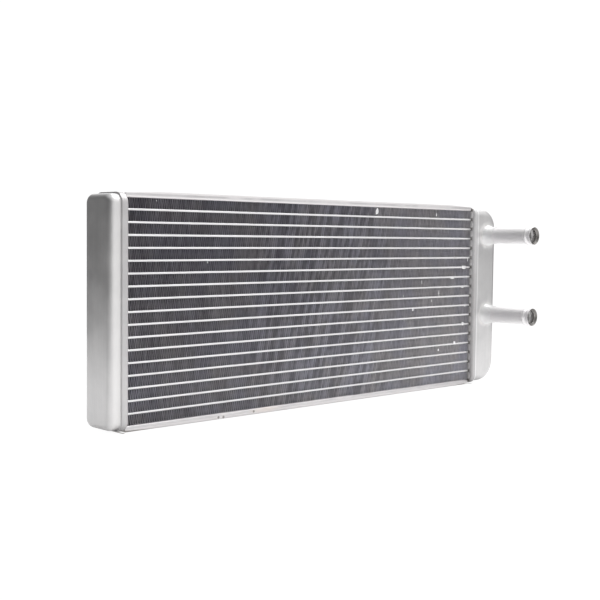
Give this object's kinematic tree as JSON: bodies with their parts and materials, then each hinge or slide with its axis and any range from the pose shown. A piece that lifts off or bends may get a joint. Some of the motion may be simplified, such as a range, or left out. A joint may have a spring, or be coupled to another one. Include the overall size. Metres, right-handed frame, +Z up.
{
  "type": "heater core",
  "caption": "Brazed aluminium heater core: flat tubes and corrugated fins between two end tanks, with both hose pipes on one tank.",
  "frame": {"origin": "below the middle of the whole part, pipes included, in the plane of the lower flange edges that it stands on", "axes": "+X along the core towards the tank with the pipes, +Y from the face with the pipes to the back, +Z up"},
  "size_m": [0.493, 0.0958, 0.1884],
  "materials": {
    "tank_aluminium": "bare drawn sheet, satin, fine scuffs",
    "header_aluminium": "bare brazed sheet, satin",
    "plate_aluminium": "bare brazed sheet, satin, drawn lengthwise",
    "tube_aluminium": "bare extruded or welded tube, brazed, satin",
    "fin_aluminium": "thin bare foil, brazed, matt",
    "pipe_aluminium": "bare tube, half bright",
    "collar_aluminium": "brazed and cleaned, satin"
  },
  "bodies": {
    "root": {"bottom_side_plate": "plate_aluminium", "fin_01": "fin_aluminium", "fin_02": "fin_aluminium", "fin_03": "fin_aluminium", "fin_04": "fin_aluminium", "fin_05": "fin_aluminium", "fin_06": "fin_aluminium", "fin_07": "fin_aluminium", "fin_08": "fin_aluminium", "fin_09": "fin_aluminium", "fin_10": "fin_aluminium", "fin_11": "fin_aluminium", "fin_12": "fin_aluminium", "fin_13": "fin_aluminium", "fin_14": "fin_aluminium", "fin_15": "fin_aluminium", "fin_16": "fin_aluminium", "fin_17": "fin_aluminium", "fin_18": "fin_aluminium", "left_header": "header_aluminium", "left_tank": "tank_aluminium", "lower_collar": "collar_aluminium", "lower_pipe": "pipe_aluminium", "right_header": "header_aluminium", "right_tank": "tank_aluminium", "tank_divider": "header_aluminium", "top_side_plate": "plate_aluminium", "tube_01": "tube_aluminium", "tube_02": "tube_aluminium", "tube_03": "tube_aluminium", "tube_04": "tube_aluminium", "tube_05": "tube_aluminium", "tube_06": "tube_aluminium", "tube_07": "tube_aluminium", "tube_08": "tube_aluminium", "tube_09": "tube_aluminium", "tube_10": "tube_aluminium", "tube_11": "tube_aluminium", "tube_12": "tube_aluminium", "tube_13": "tube_aluminium", "tube_14": "tube_aluminium", "tube_15": "tube_aluminium", "tube_16": "tube_aluminium", "tube_17": "tube_aluminium", "upper_collar": "collar_aluminium", "upper_pipe": "pipe_aluminium"}
  },
  "joints": []
}
